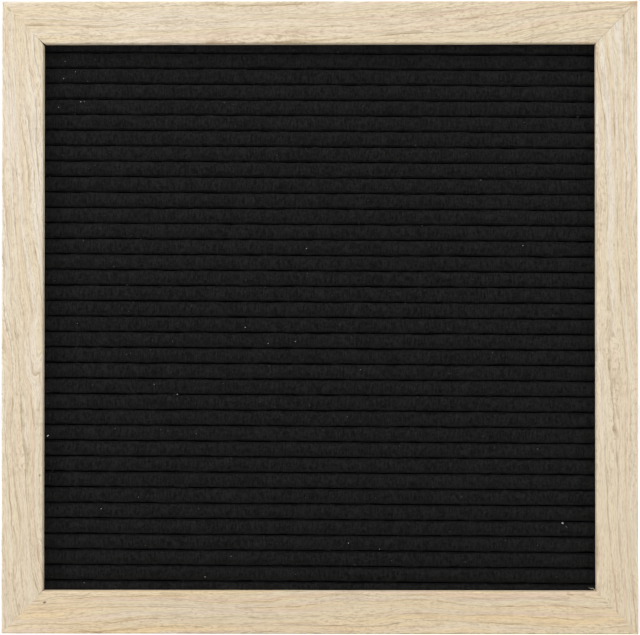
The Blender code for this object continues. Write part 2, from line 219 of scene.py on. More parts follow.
class Term:
    """A value in a material. Arithmetic on it adds Math nodes."""

    def __init__(self, recipe, socket):
        self.recipe = recipe
        self.socket = socket

    def math(self, operation, first, second=0.0):
        """The outcome of a Math node."""
        return self.recipe.node("ShaderNodeMath", {"operation": operation}, {0: first, 1: second})

    def __add__(self, other):
        return self.math("ADD", self, other)

    __radd__ = __add__

    def __sub__(self, other):
        return self.math("SUBTRACT", self, other)

    def __rsub__(self, other):
        return self.math("SUBTRACT", other, self)

    def __mul__(self, other):
        return self.math("MULTIPLY", self, other)

    __rmul__ = __mul__

    def __truediv__(self, other):
        return self.math("DIVIDE", self, other)

    def __pow__(self, other):
        return self.math("POWER", self, other)

    def __abs__(self):
        return self.math("ABSOLUTE", self)

    def fraction(self):
        """What is past the last whole number."""
        return self.math("FRACT", self)

    def at_least(self, low):
        """The larger of this and another value."""
        return self.math("MAXIMUM", self, low)

    def between(self, low, high):
        """0 below low, 1 above high, and a smooth step between."""
        settings = {"interpolation_type": "SMOOTHSTEP"}
        limits = {"Value": self, "From Min": low, "From Max": high}
        return self.recipe.node("ShaderNodeMapRange", settings, limits)


class Recipe:
    """A material or a surround being mixed, with one method that adds any node to it."""

    def __init__(self, owner, shader="Principled BSDF"):
        owner.use_nodes = True
        self.owner = owner
        self.tree = owner.node_tree
        self.shader = self.tree.nodes[shader]

    def node(self, kind, settings=None, inputs=None, output=0):
        """Add a node with its settings and inputs, and return one of its outputs."""
        made = self.tree.nodes.new(kind)
        for name, value in (settings or {}).items():
            setattr(made, name, value)
        self.feed(made, inputs or {})
        return Term(self, made.outputs[output])

    def feed(self, made, inputs):
        """Set or link a node's inputs. A colour is given as red, green and blue."""
        for key, value in inputs.items():
            socket = made.inputs[key]
            if isinstance(value, Term):
                self.tree.links.new(value.socket, socket)
            elif socket.type == "RGBA":
                socket.default_value = (*value, 1.0)
            else:
                socket.default_value = value

    def outputs(self, kind, names, inputs=None):
        """Several outputs of one added node."""
        made = self.node(kind, None, inputs).socket.node
        return [Term(self, made.outputs[name]) for name in names]

    def places(self):
        """The surface point's X, Y and Z in millimetres."""
        point = self.node("ShaderNodeTexCoord", output="Object")
        return [axis / MM for axis in self.outputs("ShaderNodeSeparateXYZ", "XYZ", {0: point})]

    def noise(self, x, y, z, detail=2.0, roughness=0.5, distortion=0.0):
        """Smooth noise, about 0.5 on average, of three values that it takes as a place."""
        place = self.node("ShaderNodeCombineXYZ", None, {0: x, 1: y, 2: z})
        facts = {"Vector": place, "Scale": 1.0, "Detail": detail, "Roughness": roughness}
        return self.node("ShaderNodeTexNoise", None, facts | {"Distortion": distortion})

    def mix(self, share, first, second):
        """A colour between two colours."""
        colours = {0: share, 6: first, 7: second}
        return self.node("ShaderNodeMix", {"data_type": "RGBA"}, colours, output=2)

    def bump(self, height, distance, strength=1.0):
        """A normal that leans as a surface of this height would, at most distance high."""
        facts = {"Height": height, "Distance": distance, "Strength": strength}
        return self.node("ShaderNodeBump", None, facts)

    def finish(self, **inputs):
        """Feed the shader's own inputs and return what the recipe is for."""
        self.feed(self.shader, {name.replace("_", " "): value for name, value in inputs.items()})
        return self.owner


def new_recipe(name):
    """A recipe for a new material."""
    return Recipe(bpy.data.materials.new(name))


OAK_PALE = (0.812, 0.710, 0.532)
OAK_WARM = (0.872, 0.688, 0.430)
OAK_PINK = (0.810, 0.630, 0.490)
OAK_SILVER = (0.880, 0.805, 0.690)
OAK_PORE = (0.380, 0.245, 0.120)
OAK_GLUE = (0.330, 0.250, 0.160)
RING_SPACING = 3.4
PORE_DEPTH = 0.06 * MM


def to_mitre(run_axis, x, z, along):
    """How far in from its rail's outer edge a point is, and how far it is from the mitre.

    The way inward is measured as the mitre cuts it: along the neighbour's width.
    """
    if run_axis == "x":
        inward = abs(abs(z - MIDDLE_Z / MM) - FRAME_HEIGHT / MM / 2) / LEVEL_RAILS_WIDER
        return inward, FRAME_WIDTH / MM / 2 - inward - abs(along)
    inward = abs(abs(x) - FRAME_WIDTH / MM / 2) * LEVEL_RAILS_WIDER
    return inward, FRAME_HEIGHT / MM / 2 - inward - abs(along)


def oak(name, run_axis, grain, shift, swirl, warmth, silver, bold, glue_lines, marks, eyes=()):
    """Oak whose grain runs along one axis, with lengths in millimetres.

    Rings are lines of equal v = across - grain(along) + noise, one for each ring spacing,
    and darkest where they begin. The slowest noise is swirl strong, and shift moves every
    noise to another stretch. Pores are noise drawn out along the grain and narrow across
    it, darkest where a ring begins, and bold is the strength of all that is dark. Slow
    noise warms the colour by the warmth, pinks it, and silvers it by a share that goes
    from silver's first value to its second along the rail. A line follows each mitre, as
    dark as glue_lines says for the two ends. Each mark is a soft oval, and an eye is an
    oval that pushes the rings aside.
    """
    wood = new_recipe(name)
    x, depth, z = wood.places()
    along, across = (x, z) if run_axis == "x" else (z - MIDDLE_Z / MM, x)

    # The way across the rings, and a point's age within its ring, from 0 to 1.
    slow = wood.noise(along * 0.016 + shift, across * 0.07, depth * 0.07, detail=1.5)
    quick = wood.noise(along * 0.055, across * 0.17 + shift, depth * 0.17, detail=1.0)
    small = wood.noise(along * 0.24, across * 0.5 + shift, depth * 0.5, detail=2.0)
    v = across + depth * 0.7 - grain(along) + slow * swirl + quick * 1.5 + small * 0.75
    for place, radii, turn, push in eyes:
        v = v + oval(x, z, place, radii, turn) * push
    ring = v / RING_SPACING + wood.noise(v * 0.23, along * 0.004, shift, detail=1.0) * 2.2
    age = ring.fraction()

    # What is dark: the broken line that begins each ring, pores, fine hairs and ticks.
    early = (1.0 - age) ** 2.5
    broken = wood.noise(v * 0.4, along * 0.06, shift, detail=3.0, roughness=0.7)
    line = (1.0 - age.between(0.02, 0.13)) * broken.between(0.40, 0.58)
    zone = wood.noise(v * 0.28, along * 0.03 + shift, 5.0).between(0.42, 0.60)
    grit = wood.noise(v * 3.2, along * 1.1 + shift, shift, detail=1.0)
    dashes = wood.noise(v * 1.3, along * 0.06 + shift, shift, detail=3.0, roughness=0.65)
    hairs = wood.noise(v * 2.8 + shift, along * 0.22, shift, detail=2.0, roughness=0.7)
    ticks = wood.noise(v * 2.3, along * 0.50 + shift, 9.0, detail=2.0, roughness=0.6)
    pores = dashes.between(0.47, 0.63) * (0.35 + 0.65 * early) * (0.5 + grit)
    hairs = hairs.between(0.46, 0.64) * (0.55 + 0.45 * early) * (0.4 + 1.2 * grit)
    ticks = ticks.between(0.52, 0.66) * (0.30 + 0.70 * zone)

    # The wood's own colour, with what is dark laid over it.
    pale = wood.noise(v * 0.45, along * 0.010 + shift, 3.0, detail=3.0).between(0.43, 0.64)
    patch = wood.noise(along * 0.012 + shift, v * 0.30, depth * 0.2, detail=3.0)
    blush = wood.noise(along * 0.010, v * 0.65 + shift, depth * 0.2, detail=3.0)
    warm = (0.25 + 0.75 * patch.between(0.37, 0.63)) * warmth
    colour = wood.mix(warm, OAK_PALE, OAK_WARM)
    colour = wood.mix(blush.between(0.48, 0.64) * (0.4 + 0.4 * warmth), colour, OAK_PINK)
    silvery = silver[0] + (silver[1] - silver[0]) * (along / (FRAME_WIDTH / MM) + 0.5)
    colour = wood.mix(pale * silvery, colour, OAK_SILVER)
    for dark, share in ((hairs, 0.42), (ticks, 0.40), (pores, 0.45), (line, 0.50)):
        colour = wood.mix(dark * share * bold, colour, OAK_PORE)

    # The glue line at each mitre, then the marks.
    inward, end = to_mitre(run_axis, x, z, along)
    first, second = glue_lines
    glue = (first + (second - first) * along.between(-1.0, 1.0)) * (1.0 - end.between(0.05, 0.40))
    uneven = wood.noise(inward * 0.4 + shift, shift, 0.0).between(0.3, 0.7)
    colour = wood.mix(glue * uneven, colour, OAK_GLUE)
    for place, radii, turn, strength, tint in marks:
        colour = wood.mix(oval(x, z, place, radii, turn) * strength, colour, tint)

    normal = wood.bump(0.0 - pores - hairs * 0.5 - line, PORE_DEPTH, 0.6)
    roughness = 0.5 + pores * 0.3
    return wood.finish(Base_Color=colour, Roughness=roughness, Normal=normal)


def oval(x, z, place, radii, turn):
    """A mask, 1 inside an oval at a place on the face and 0 outside, with a soft edge."""
    right = x - place[0]
    up = z - place[1]
    angle = math.radians(turn)
    long = (right * math.cos(angle) + up * math.sin(angle)) / radii[0]
    short = (up * math.cos(angle) - right * math.sin(angle)) / radii[1]
    return 1.0 - (long * long + short * short).between(0.3, 1.3)


# How the grain of each rail rises over its length, in millimetres from the rail's middle.
GRAIN_BEND = 0.0003
LEVEL_FROM = 20.0
CLIMB_FROM = -85.0
RIGHT_LEAN = -0.03
LEFT_LEAN = -0.09


def levelling(along):
    """The bottom rail's grain climbs at its left end, ever less steeply, then runs level."""
    return (LEVEL_FROM - along).at_least(0.0) ** 2.0 * -GRAIN_BEND


def climbing(along):
    """The top rail's grain climbs towards the right end, ever more steeply."""
    return (along - CLIMB_FROM).at_least(0.0) ** 2.0 * GRAIN_BEND


def leaning(along):
    """The right rail's grain leans a little, in a straight line."""
    return along * RIGHT_LEAN


def slanting(along):
    """The left rail's grain leans three times as far."""
    return along * LEFT_LEAN


# Each mark: its place (x, z) and half lengths in millimetres, its turn in degrees, its
# strength and its colour.
PINHOLE = ((-109.64, 12.39), (0.75, 0.42), 20.0, 0.85, (0.15, 0.07, 0.02))
STREAK = ((99.8, 15.8), (1.80, 0.40), -5.0, 0.55, (0.42, 0.26, 0.12))
SPECK = ((-111.64, 63.05), (0.40, 0.50), 0.0, 0.70, (0.16, 0.11, 0.07))
BROWN_DASH = ((-118.0, 122.9), (2.00, 0.35), 88.0, 0.50, (0.55, 0.36, 0.22))
NICK = ((-124.2, 249.4), (1.30, 0.45), -50.0, 0.60, (0.42, 0.36, 0.13))
CORNER_STAIN = ((125.6, 251.4), (2.20, 1.40), 10.0, 0.50, (0.55, 0.36, 0.20))
# The eye: place, half lengths, turn, and how far it pushes the rings in millimetres.
EYE = ((-115.4, 112.0), (13.0, 4.5), 86.0, 2.2)
# Each rail: the middle of its outer edge as shares of the width and height, which way it
# runs, which way is inward, its length, and how far its mitres stand open at both ends.
RAILS = {
    "rail_bottom": ((0, 0), (1, 0), (0, 1), FRAME_WIDTH, (0.06 * MM, 0.0)),
    "rail_right": ((0.5, 0.5), (0, 1), (-1, 0), FRAME_HEIGHT, (0.0, 0.0)),
    "rail_top": ((0, 1), (-1, 0), (0, -1), FRAME_WIDTH, (0.0, 0.40 * MM)),
    "rail_left": ((-0.5, 0.5), (0, -1), (1, 0), FRAME_HEIGHT, (0.40 * MM, 0.15 * MM)),
}
WOODS = {
    "rail_bottom": oak(
        "oak bottom",
        run_axis="x",
        grain=levelling,
        shift=31.0,
        swirl=9.0,
        warmth=1.05,
        silver=(0.4, 0.2),
        bold=0.98,
        glue_lines=(0.05, 0.1),
        marks=[PINHOLE, STREAK],
    ),
    "rail_right": oak(
        "oak right",
        run_axis="z",
        grain=leaning,
        shift=57.0,
        swirl=11.0,
        warmth=0.38,
        silver=(0.3, 1.0),
        bold=0.96,
        glue_lines=(0.1, 0.7),
        marks=[CORNER_STAIN],
    ),
    "rail_top": oak(
        "oak top",
        run_axis="x",
        grain=climbing,
        shift=12.0,
        swirl=8.0,
        warmth=0.40,
        silver=(0.6, 0.25),
        bold=1.08,
        glue_lines=(0.05, 0.7),
        marks=[NICK, CORNER_STAIN],
    ),
    "rail_left": oak(
        "oak left",
        run_axis="z",
        grain=slanting,
        shift=91.0,
        swirl=12.0,
        warmth=0.28,
        silver=(0.4, 0.95),
        bold=1.10,
        glue_lines=(0.05, 0.05),
        marks=[SPECK, BROWN_DASH, NICK],
        eyes=[EYE],
    ),
}

for number, (name, (corner, run, into, length, gaps)) in enumerate(RAILS.items()):
    level = run[1] == 0
    # At its inner edge, a rail's end is cut back by what its neighbour is wide.
    slope = 1.0 if level else LEVEL_RAILS_WIDER
    rings = rail_rings(length, slope, *gaps, np.random.default_rng(number))
    along, inward, depth = np.moveaxis(rings, -1, 0)
    inward = inward * (LEVEL_RAILS_WIDER if level else 1.0)
    points = np.empty(rings.shape)
    points[..., 0] = corner[0] * FRAME_WIDTH + along * run[0] + inward * into[0]
    points[..., 1] = FACE_Y + depth
    points[..., 2] = corner[1] * FRAME_HEIGHT + along * run[1] + inward * into[1]
    rail = add_piece(f"oak_{name}", tube_mesh(name, points[None]))
    rail.data.materials.append(WOODS[name])
    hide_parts(name)


# V-nails: strips of thin zinc-plated steel folded to a right angle, two driven in across the
# back of each mitre until they are level with the wood.

V_NAIL_LEG = 4.0 * MM
V_NAIL_HEIGHT = 7.0 * MM
V_NAIL_THICKNESS = 0.5 * MM
V_NAIL_FOLD = 0.45 * MM
V_NAIL_PROUD = 0.08 * MM
V_NAILS_PER_CORNER = 2
# Each corner of the frame: its side, -1 for left, and whether it is an upper one.
NAIL_CORNERS = {
    "bottom_left": (-1, 0),
    "bottom_right": (1, 0),
    "top_right": (1, 1),
    "top_left": (-1, 1),
}


def zinc():
    """Zinc plate: a grey metal with soft crystal patches and fine scratches."""
    steel = new_recipe("zinc plated steel")
    x, depth, z = steel.places()
    patch = steel.noise(x * 0.9, depth * 0.9, z * 0.9, detail=3.0)
    scratch = steel.noise(x * 6.0, depth * 0.8, z * 6.0, detail=2.0)
    colour = steel.mix(patch.between(0.3, 0.7), (0.50, 0.51, 0.53), (0.68, 0.69, 0.70))
    normal = steel.bump(scratch, 0.01 * MM, 0.5)
    roughness = 0.30 + patch * 0.25
    return steel.finish(Base_Color=colour, Roughness=roughness, Metallic=1.0, Normal=normal)


def v_nail_rings():
    """The strip as rings of (inward in x, depth, inward in z).

    An upright oblong is carried along two straight legs and the quarter circle between
    them, its thickness always along the path's normal.
    """
    angles = np.linspace(0.0, math.pi / 2, ARC_POINTS)
    bend = V_NAIL_FOLD * np.stack([1 - np.sin(angles), 1 - np.cos(angles)], axis=1)
    path = np.concatenate([[(V_NAIL_LEG, 0.0)], bend, [(0.0, V_NAIL_LEG)]])
    turn = np.concatenate([[0.0], angles, [math.pi / 2]])
    normal = np.stack([np.sin(turn), np.cos(turn)], axis=1)
    sides = np.array([-1, 1, 1, -1]) * V_NAIL_THICKNESS / 2
    plan = path[:, None, :] + sides[None, :, None] * normal[:, None, :]
    top = BACK_Y + V_NAIL_PROUD
    low = np.full(plan.shape[:2], top - V_NAIL_HEIGHT)
    low[:, 2:] = top
    return np.stack([plan[..., 0], low, plan[..., 1]], axis=-1)


ZINC = zinc()
for corner, (side, upper) in NAIL_CORNERS.items():
    for number in range(1, V_NAILS_PER_CORNER + 1):
        inset = number * WALL_WIDTH / (V_NAILS_PER_CORNER + 1)
        points = v_nail_rings()
        points[..., 0] = side * (FRAME_WIDTH / 2 - inset - points[..., 0])
        points[..., 2] += inset
        if upper:
            points[..., 2] = FRAME_HEIGHT - points[..., 2]
        nail = add_piece(f"driven_v_nail_{corner}_{number}", tube_mesh("v nail", points[None]))
        nail.data.materials.append(ZINC)
        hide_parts(f"v_nail_{corner}_{number}")


# The backing board: 3 mm brown fibreboard, cut to the rabbet. The felt is bonded to its face.
# Flexible points, flat darts of the V-nails' steel, are pushed into the rabbet wall behind it.


def fibreboard():
    """Pressed fibres: mottled brown, with short dark and light flecks lying every way."""
    board = new_recipe("fibreboard")
    x, depth, z = board.places()
    mottle = board.noise(x * 0.05, depth, z * 0.05, detail=5.0)
    fibre = board.noise(x * 1.4, depth, z * 1.4, detail=3.0, distortion=2.0)
    fleck = board.noise(x * 0.9 + 40.0, depth, z * 0.9, detail=2.0, distortion=3.0)
    colour = board.mix(mottle.between(0.2, 0.8), (0.30, 0.185, 0.10), (0.34, 0.22, 0.125))
    colour = board.mix(fibre.between(0.45, 0.75) * 0.5, colour, (0.50, 0.35, 0.22))
    colour = board.mix(fleck.between(0.62, 0.75) * 0.6, colour, (0.13, 0.075, 0.04))
    normal = board.bump(fibre - fleck * 0.5, 0.05 * MM, 0.7)
    return board.finish(Base_Color=colour, Roughness=0.72 - fibre * 0.15, Normal=normal)


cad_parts["backing_board"].material_slots[0].material = fibreboard()
for side in ("bottom", "right", "top", "left"):
    for number in (1, 2):
        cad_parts[f"point_{side}_{number}"].material_slots[0].material = ZINC


# The felt: one sheet of black brushed felt, folded into rows of narrow slots that grip the
# letters' tabs, and bonded to the board at every fold. It was laid by hand, so the slots
# waver, gape and close a little, and they run slightly downhill to the right.

FELT_THICKNESS = 0.9 * MM
SLOT_PITCH = 6.25 * MM
SLOT_WIDTH = 0.5 * MM
SLOT_TILT = math.radians(0.378)
SLOTS_EACH_SIDE = 18
RIB_CROWN = 0.42 * MM
RIB_EDGE_SLOPE = 0.30
SHOULDER_RADIUS = 0.65 * MM
SLOT_DROP = 0.17 * MM
SLOT_WAVER = 0.08 * MM
SLOT_WAVER_LENGTH = 9.0 * MM
SLOT_JITTER = 0.09 * MM
SLOT_JITTER_LENGTH = 2.2 * MM
SLOT_GAPE = 0.60
SLOT_GAPE_LENGTH = 2.6 * MM
PUCKER = 0.025 * MM
PUCKER_WAVES = 16
PUCKER_LENGTHS = (6.0, 24.0)
FELT_COLUMNS = 117

felt_low, felt_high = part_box("felt_sheet")
FELT_WIDTH = felt_high.x - felt_low.x
FELT_HEIGHT = felt_high.z - felt_low.z
FELT_DEPTH = felt_high.y - felt_low.y
FELT_Y = felt_low.y


def felt_face(side, gap, centre, fold_points, shoulder_points, rib_points):
    """One face of the felt as (heights, depths), each (places across, points up the sheet).

    side is -1 for the face that shows and 1 for the one behind it. Each slot is a half
    circle at its fold, two straight walls and two quarter circles at its shoulders, less
    the slope of a rib's edge. Each rib between is an arch, whose depth behind its crest
    grows with the squared way from its middle.
    """
    half = side * FELT_THICKNESS / 2
    fold = (gap[..., None] + FELT_THICKNESS) / 2
    fold_angle = np.linspace(0.0, math.pi / 2, fold_points)
    turn = np.linspace(0.0, math.pi / 2 - RIB_EDGE_SLOPE, shoulder_points)
    wide = fold + SHOULDER_RADIUS
    shoulder_depth = RIB_CROWN + FELT_THICKNESS / 2 + SHOULDER_RADIUS
    fold_depth = FELT_DEPTH - FELT_THICKNESS / 2 - fold
    fold_up = (fold + half) * np.sin(fold_angle)
    fold_deep = fold_depth + (fold + half) * np.cos(fold_angle)
    shoulder_up = wide - (SHOULDER_RADIUS - half) * np.cos(turn)
    shoulder_deep = shoulder_depth - (SHOULDER_RADIUS - half) * np.sin(turn)
    shoulder_deep = np.broadcast_to(shoulder_deep, shoulder_up.shape)
    up = np.concatenate([fold_up, shoulder_up], axis=-1)
    deep = np.concatenate([fold_deep, shoulder_deep], axis=-1)
    slot_heights = np.concatenate([-up[..., :0:-1], up], axis=-1) + centre[..., None]
    slot_depths = np.concatenate([deep[..., :0:-1], deep], axis=-1)
    share = np.linspace(-1.0, 1.0, rib_points + 2)[1:-1]
    first = slot_heights[:, :-1, -1:]
    last = slot_heights[:, 1:, :1]
    rib_heights = (first + last) / 2 + share * (last - first) / 2
    crest = FELT_THICKNESS / 2 + half
    rib_depths = crest + (slot_depths[:, :-1, -1:] - crest) * share**2
    edge = np.full((len(gap), 1), FELT_HEIGHT / 2)
    flat = slot_depths[:, 0, :1]
    rows = len(gap)
    heights = np.concatenate([slot_heights[:, :-1], rib_heights], axis=-1).reshape(rows, -1)
    depths = np.concatenate([slot_depths[:, :-1], rib_depths], axis=-1).reshape(rows, -1)
    heights = np.concatenate([-edge, heights, slot_heights[:, -1], edge], axis=-1)
    depths = np.concatenate([flat, depths, slot_depths[:, -1], flat], axis=-1)
    return heights, depths


def puckers(rng, across, height):
    """A gently uneven surface: the sum of plane sine waves.

    Each has a random direction and start, and a random length, in millimetres.
    """
    total = np.zeros(np.broadcast(across, height).shape)
    for _ in range(PUCKER_WAVES):
        angle = rng.uniform(0.0, 2 * math.pi)
        beat = 2 * math.pi / (rng.uniform(*PUCKER_LENGTHS) * MM)
        run = across * math.cos(angle) + height * math.sin(angle)
        total += np.sin(beat * run + rng.uniform(0.0, 2 * math.pi))
    return total


def black_felt():
    """Black brushed felt: matt, with short upright fibre streaks and tufts.

    Its colour is darkened with depth, from the ribs' shoulders into the slots: painted shade in the
    folds.
    """
    felt = new_recipe("black felt")
    x, depth, z = felt.places()
    streak = felt.noise(x * 1.5, depth * 0.8, z * 0.40, detail=3.0, roughness=0.7)
    tuft = felt.noise(x * 1.1 + 9.0, depth, z * 1.1, detail=2.0, distortion=0.8)
    drift = felt.noise(x * 0.12, 7.0, z * 0.12, detail=2.0)
    ragged = felt.noise(x * 0.80, 3.0, z * 0.9, detail=3.0, roughness=0.6)
    shade = streak.between(0.38, 0.64) * 0.6 + tuft.between(0.40, 0.62) * 0.4
    shade = shade * (0.7 + 0.6 * drift)
    colour = felt.mix(shade, (0.0030, 0.0030, 0.0030), (0.0166, 0.0166, 0.0166))
    # Painted shade: the colour goes to near black deeper into the slots, with a ragged edge, where
    # the folds are in shade.
    painted_slot_shade = ((depth - FELT_Y / MM) * (1.0 + (ragged - 0.5) * 3.8)).between(0.55, 1.15)
    colour = felt.mix(painted_slot_shade, colour, (0.0005, 0.0005, 0.0005))
    return felt.finish(
        Base_Color=colour,
        Roughness=0.95,
        Specular_IOR_Level=0.08,
        Sheen_Weight=0.03,
        Sheen_Roughness=0.5,
        Normal=felt.bump(streak + tuft, 0.12 * MM, 0.7),
    )


FELT_SEED = 37
felt_rng = np.random.default_rng(FELT_SEED)
across = np.linspace(-FELT_WIDTH / 2, FELT_WIDTH / 2, FELT_COLUMNS)
slots = np.arange(-SLOTS_EACH_SIDE, SLOTS_EACH_SIDE + 1)
gape = smooth_curves(felt_rng, len(slots), across, SLOT_GAPE_LENGTH).T
waver = smooth_curves(felt_rng, len(slots), across, SLOT_WAVER_LENGTH).T
jitter = smooth_curves(felt_rng, len(slots), across, SLOT_JITTER_LENGTH).T
gap = SLOT_WIDTH * (1.0 + SLOT_GAPE * gape)
centre = slots * SLOT_PITCH - math.tan(SLOT_TILT) * across[:, None] - SLOT_DROP
centre = centre + SLOT_WAVER * waver + SLOT_JITTER * jitter
front = felt_face(-1, gap, centre, fold_points=2, shoulder_points=4, rib_points=3)
back = felt_face(1, gap, centre, fold_points=2, shoulder_points=2, rib_points=1)
felt_heights = np.concatenate([front[0], back[0][:, ::-1]], axis=1)
felt_depths = np.concatenate([front[1], back[1][:, ::-1]], axis=1)
loose = np.clip(1.0 - felt_depths / (2 * FELT_THICKNESS), 0.0, 1.0)
felt_depths += PUCKER * loose * puckers(felt_rng, across[:, None], felt_heights)
points = np.empty((*felt_heights.shape, 3))
points[..., 0] = across[:, None]
points[..., 1] = FELT_Y + felt_depths
points[..., 2] = MIDDLE_Z + felt_heights
felt = add_piece("folded_felt", tube_mesh("folded felt", points[None]))
felt.data.materials.append(black_felt())
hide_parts("felt_sheet")


# Loose fibres: the felt's own fuzz, short dark hairs all over its face; pale lint and dust that
# cling to it, most near its left end; and a thin shaving of oak in the lower right corner.

FIBRE_STEPS = 6
FIBRE_SIDES = 5
FIBRE_SEED = 5
FUZZ_COUNT = 2600
DUST_COUNT = 160
# Each fleck of lint: middle x and z, length and thickness in millimetres, and turn in degrees.
LINT = [
    (97.4, 43.6, 0.80, 0.60, -35),
    (98.8, 42.2, 1.20, 0.05, -40),
    (-109.1, 78.5, 0.95, 0.45, 40),
    (-96.1, 212.9, 0.45, 0.30, 20),
    (-94.6, 213.0, 0.25, 0.14, 60),
    (-105.0, 210.7, 0.30, 0.15, 70),
    (-103.0, 222.3, 0.35, 0.20, 10),
    (-98.2, 225.1, 0.35, 0.16, 80),
    (-102.4, 229.2, 0.40, 0.12, 35),
    (-92.9, 186.1, 0.30, 0.12, 20),
    (64.8, 181.3, 0.30, 0.14, 0),
    (81.7, 155.0, 0.38, 0.24, 50),
    (-5.2, 153.8, 0.38, 0.25, 0),
    (-29.8, 122.1, 0.45, 0.28, 15),
    (-97.3, 123.7, 0.28, 0.12, 0),
    (-20.6, 115.7, 0.36, 0.24, 0),
    (-9.6, 116.5, 0.38, 0.24, 60),
    (16.5, 105.2, 0.28, 0.14, 30),
    (-66.4, 99.2, 0.30, 0.13, 30),
    (-57.1, 95.3, 0.45, 0.22, 90),
    (-49.5, 79.4, 0.32, 0.17, 0),
    (-82.0, 81.5, 0.30, 0.14, 50),
    (87.5, 73.4, 0.30, 0.14, 0),
    (-72.7, 54.0, 0.35, 0.18, 0),
    (-87.6, 49.3, 0.38, 0.20, 15),
    (11.7, 35.6, 0.38, 0.22, 0),
    (24.2, 33.2, 0.34, 0.17, 10),
    (-35.4, 30.3, 0.32, 0.15, 0),
    (87.4, 34.8, 0.28, 0.12, 70),
    (-45.9, 22.0, 0.36, 0.20, 0),
    (-94.5, 19.6, 0.34, 0.17, 10),
    (-9.6, 23.1, 0.32, 0.16, 0),
]


def fibre_rings(x, z, base, lengths, angles, bows, lifts, radii):
    """Bent fibres as rings, (fibres, rings, points, 3).

    Place s along a fibre, from -1 to 1, is its middle + s half lengths along its angle +
    bow (1 - s squared) to one side, and stands lift (1 - s squared) proud of its base. The
    rings round it shrink as the fourth root of 1 - s squared, down to a small blunt end.
    """
    s = np.linspace(-1.0, 1.0, FIBRE_STEPS)
    swell = 1.0 - s**2
    run_x = np.cos(angles)[:, None]
    run_z = np.sin(angles)[:, None]
    reach = lengths[:, None] / 2 * s
    side = bows[:, None] * swell
    path_x = x[:, None] + reach * run_x - side * run_z
    path_z = z[:, None] + reach * run_z + side * run_x
    path_y = base[:, None] - lifts[:, None] * swell
    round_it = np.linspace(0.0, 2 * math.pi, FIBRE_SIDES, endpoint=False)
    radius = radii[:, None] * np.maximum(swell, 0.02) ** 0.25
    sideways = radius[..., None] * np.cos(round_it)
    outward = radius[..., None] * np.sin(round_it)
    return np.stack(
        [
            path_x[..., None] - sideways * run_z[..., None],
            path_y[..., None] - outward,
            path_z[..., None] + sideways * run_x[..., None],
        ],
        axis=-1,
    )


def felt_surface(x, z):
    """The depth of the felt's face at a place, an arch between slots, as a world Y."""
    rib = (z - MIDDLE_Z + math.tan(SLOT_TILT) * x) / SLOT_PITCH
    return FELT_Y + RIB_CROWN * (2.0 * (rib % 1.0) - 1.0) ** 2


def plain_fibre(name, colour, roughness):
    """A matt fibre, a little darker and lighter along its length."""
    fibre = new_recipe(name)
    x, depth, z = fibre.places()
    shade = fibre.noise(x * 2.0, depth * 2.0, z * 2.0, detail=1.0)
    darker = [0.6 * value for value in colour]
    tone = fibre.mix(shade.between(0.3, 0.7), darker, colour)
    return fibre.finish(Base_Color=tone, Roughness=roughness, Specular_IOR_Level=0.2)


def add_fibres(name, material, x, z, lengths, angles, bows, lifts, radii):
    """A piece made of loose fibres that lie on the felt's face."""
    rings = fibre_rings(x, z, felt_surface(x, z), lengths, angles, bows, lifts, radii)
    fibres = add_piece(name, tube_mesh(name, rings))
    fibres.data.materials.append(material)


fuzz_rng = np.random.default_rng(FIBRE_SEED)
REACH_X = FRAME_WIDTH / 2 - RAIL_WIDTH
REACH_Z = FRAME_HEIGHT / 2 - RAIL_WIDTH
add_fibres(
    "felt_fuzz",
    plain_fibre("felt fuzz", (0.030, 0.030, 0.030), roughness=0.9),
    x=fuzz_rng.uniform(-REACH_X, REACH_X, FUZZ_COUNT),
    z=MIDDLE_Z + fuzz_rng.uniform(-REACH_Z, REACH_Z, FUZZ_COUNT),
    lengths=fuzz_rng.uniform(0.8, 2.4, FUZZ_COUNT) * MM,
    angles=fuzz_rng.normal(math.pi / 2, 0.7, FUZZ_COUNT),
    bows=fuzz_rng.normal(0.0, 0.25, FUZZ_COUNT) * MM,
    lifts=fuzz_rng.uniform(0.05, 0.25, FUZZ_COUNT) * MM,
    radii=fuzz_rng.uniform(0.015, 0.03, FUZZ_COUNT) * MM,
)
left_share = fuzz_rng.uniform(0.0, 1.0, DUST_COUNT) ** 1.8
add_fibres(
    "felt_dust",
    plain_fibre("pale dust", (0.16, 0.16, 0.16), roughness=0.9),
    x=(2 * left_share - 1) * REACH_X,
    z=MIDDLE_Z + fuzz_rng.uniform(-REACH_Z, REACH_Z, DUST_COUNT),
    lengths=fuzz_rng.uniform(0.2, 0.7, DUST_COUNT) * MM,
    angles=fuzz_rng.uniform(0.0, math.pi, DUST_COUNT),
    bows=fuzz_rng.normal(0.0, 0.05, DUST_COUNT) * MM,
    lifts=fuzz_rng.uniform(0.03, 0.08, DUST_COUNT) * MM,
    radii=fuzz_rng.uniform(0.04, 0.10, DUST_COUNT) * MM,
)
lint_x, lint_z, lint_length, lint_thickness, lint_turn = np.array(LINT).T
add_fibres(
    "felt_lint",
    plain_fibre("pale lint", (0.72, 0.72, 0.70), roughness=0.8),
    x=lint_x * MM,
    z=lint_z * MM,
    lengths=lint_length * MM,
    angles=np.radians(lint_turn),
    bows=lint_length * 0.15 * MM,
    lifts=np.full(len(LINT), 0.10 * MM),
    radii=lint_thickness / 2 * MM,
)

SHAVING_START = np.array([108.0, FELT_Y / MM - 0.5, 18.05]) * MM
SHAVING_END = np.array([110.6, FACE_Y / MM + 2.0, 17.20]) * MM
SHAVING_WIDTH = 0.45 * MM
SHAVING_THICKNESS = 0.07 * MM
SHAVING_CURL = 0.30 * MM
SHAVING_TURNS = 1.4
SHAVING_STEPS = 25


